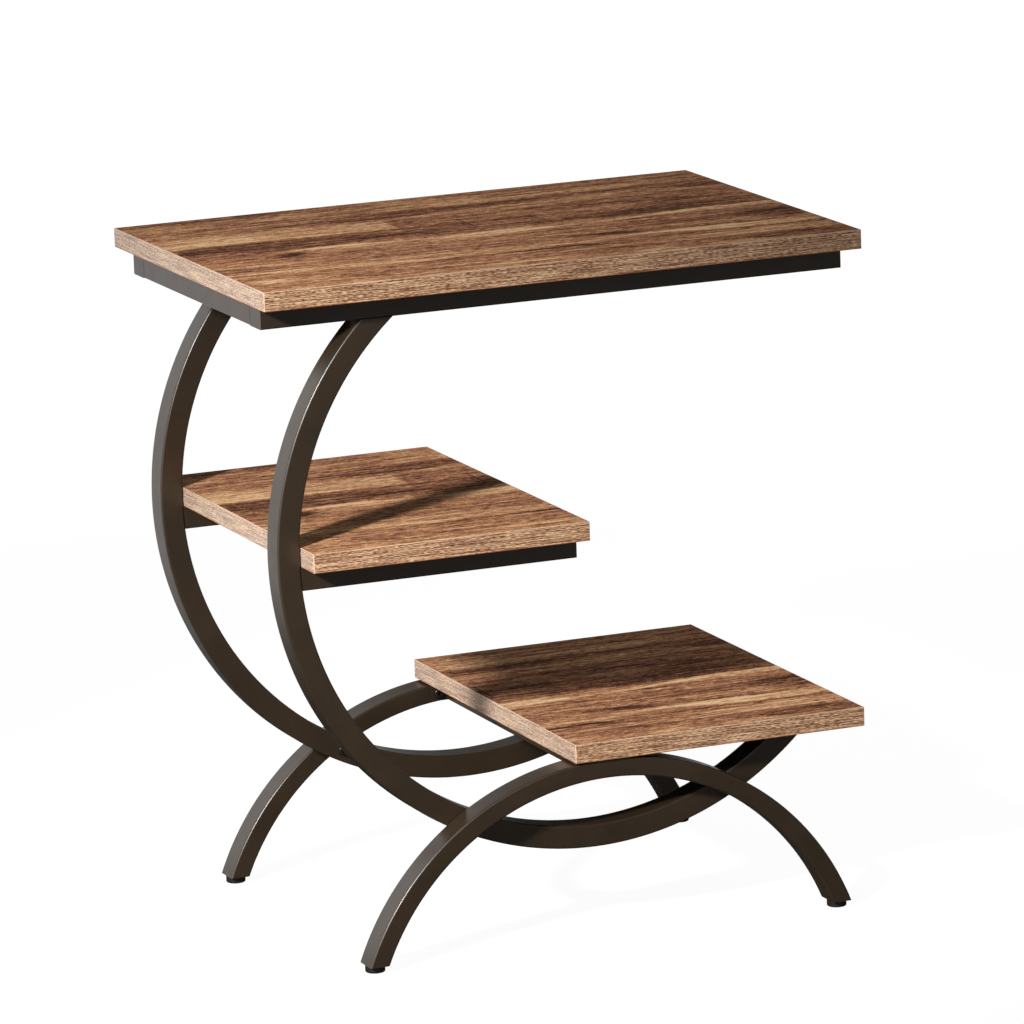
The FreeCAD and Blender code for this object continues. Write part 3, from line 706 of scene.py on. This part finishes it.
def bent_tube(solid, centre, outer_radius, thickness, start, sweep, level_cuts):
    """Makes a solid's tube again, bent round a centre (x, z) from a start angle through a sweep.

    Each level cut is a height, a side, and the places along X between which it cuts.
    """
    y_from, y_to = span(nodes[solid].data, 1)
    bm = tube_profile(thickness, y_to - y_from)
    pivot = Vector((centre[0] * MM, (y_from + y_to) / 2 * MM, centre[1] * MM))
    out = Vector(((outer_radius - thickness / 2) * MM, 0.0, 0.0))
    bmesh.ops.translate(bm, verts=bm.verts, vec=pivot + out)
    turn = Matrix.Rotation(-math.radians(start), 3, "Y")
    bmesh.ops.rotate(bm, verts=bm.verts, cent=pivot, matrix=turn)
    bmesh.ops.spin(bm, geom=bm.verts[:] + bm.edges[:] + bm.faces[:], cent=pivot, axis=(0.0, -1.0, 0.0),
                   angle=math.radians(sweep), steps=round(sweep / DEGREES_PER_STEP), use_duplicate=False)
    for level_cut in level_cuts:
        cut_level(bm, centre[0], *level_cut)
    bmesh.ops.remove_doubles(bm, verts=bm.verts, dist=0.00001)
    bmesh.ops.recalc_face_normals(bm, faces=bm.faces)
    open_edges = sum(1 for edge in bm.edges if len(edge.link_faces) != 2)
    data = bpy.data.meshes.new(f"{solid}_bent")
    bm.to_mesh(data)
    bm.free()
    data.shade_smooth()
    data.set_sharp_from_angle(angle=math.radians(50))
    data.materials.append(steel)
    piece = bpy.data.objects.new(data.name, data)
    bpy.context.scene.collection.objects.link(piece)
    even = piece.modifiers.new("flat_faces_stay_flat", "WEIGHTED_NORMAL")
    even.keep_sharp = True
    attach(piece, "table")
    both_spans = [(span(data, axis), span(nodes[solid].data, axis)) for axis in range(3)]
    stray = max(abs(new[end] - old[end]) for new, old in both_spans for end in (0, 1))
    print(f"{data.name}: {len(data.polygons)} faces, {open_edges} open edges, box within {stray:.2f} mm")
    return piece


print(f"a turn takes {360 / DEGREES_PER_STEP:.0f} steps")

# %% [markdown]
# ## The two arcs
# Each arc is a C of 22 x 28 mm tube. It starts under the top frame, goes round to the
# left and ends under the lower shelf. Both ends are cut level, so that they meet the
# frame and the shelf face to face.

# %% The two arcs
# The arc's outside meets the frame's underside this far to the left of its centre.
ARC_REACH = 216.0
ARC_CENTRE = (24.5, 389.75)
ARC_THICK = 22.0
ARC_SWEEP = (126.0, 195.0)
# The arc's upper end is to the left of this place along X, and its lower end to the right.
BETWEEN_ENDS = 100.0
FAR = 1000.0

frame_underside = span(nodes["top_rail_front"].data, 2)[0]
lower_underside = span(nodes["lower_board"].data, 2)[0]
arc_radius = math.hypot(ARC_REACH, frame_underside - ARC_CENTRE[1])
arc_cuts = [(frame_underside, 1.0, -FAR, BETWEEN_ENDS), (lower_underside, 1.0, BETWEEN_ENDS, FAR)]
for side in ("front", "back"):
    arc = bent_tube(f"c_arc_{side}", ARC_CENTRE, arc_radius, ARC_THICK, *ARC_SWEEP, arc_cuts)
    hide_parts(f"c_arc_{side}")

# %% [markdown]
# ## The two arches
# The table stands on two low arches of 18 x 28 mm tube, outside the arcs. Their tops
# touch the lower shelf's underside, and their legs are cut level just above the floor.

# %% The two arches
ARCH_RADIUS = 260.5
ARCH_MIDDLE = 27.0
ARCH_THICK = 18.0
ARCH_SWEEP = (15.0, 150.0)
LEG_END = 7.0

arch_centre = (ARCH_MIDDLE, lower_underside - ARCH_RADIUS)
arch_cuts = [(LEG_END, -1.0, -FAR, FAR)]
for side in ("front", "back"):
    arch = bent_tube(f"leg_arch_{side}", arch_centre, ARCH_RADIUS, ARCH_THICK, *ARCH_SWEEP, arch_cuts)
    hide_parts(f"leg_arch_{side}")

# %% [markdown]
# ## Dressing the solids
# The solids whose shape is right keep it, and only get their finish. Everything that
# isn't named here is coated steel.

# %% Dress the solids
FINISHES = {
    "_board": walnut,
    "_edge_bands": edge_band,
    "_screws": small_materials["zinc_plated_steel"],
    "_bolts": small_materials["black_oxide_steel"],
    "_weld_nuts": small_materials["bare_steel"],
    "foot_plugs": small_materials["moulded_black_polythene"],
    "foot_pad": small_materials["moulded_black_nylon"],
    "foot_stud": small_materials["zinc_plated_steel"],
}
for name, node in nodes.items():
    named = [finish for word, finish in FINISHES.items() if word in name]
    node.data.materials.clear()
    node.data.materials.append(named[0] if named else steel)
print(f"{len(nodes)} solids dressed")
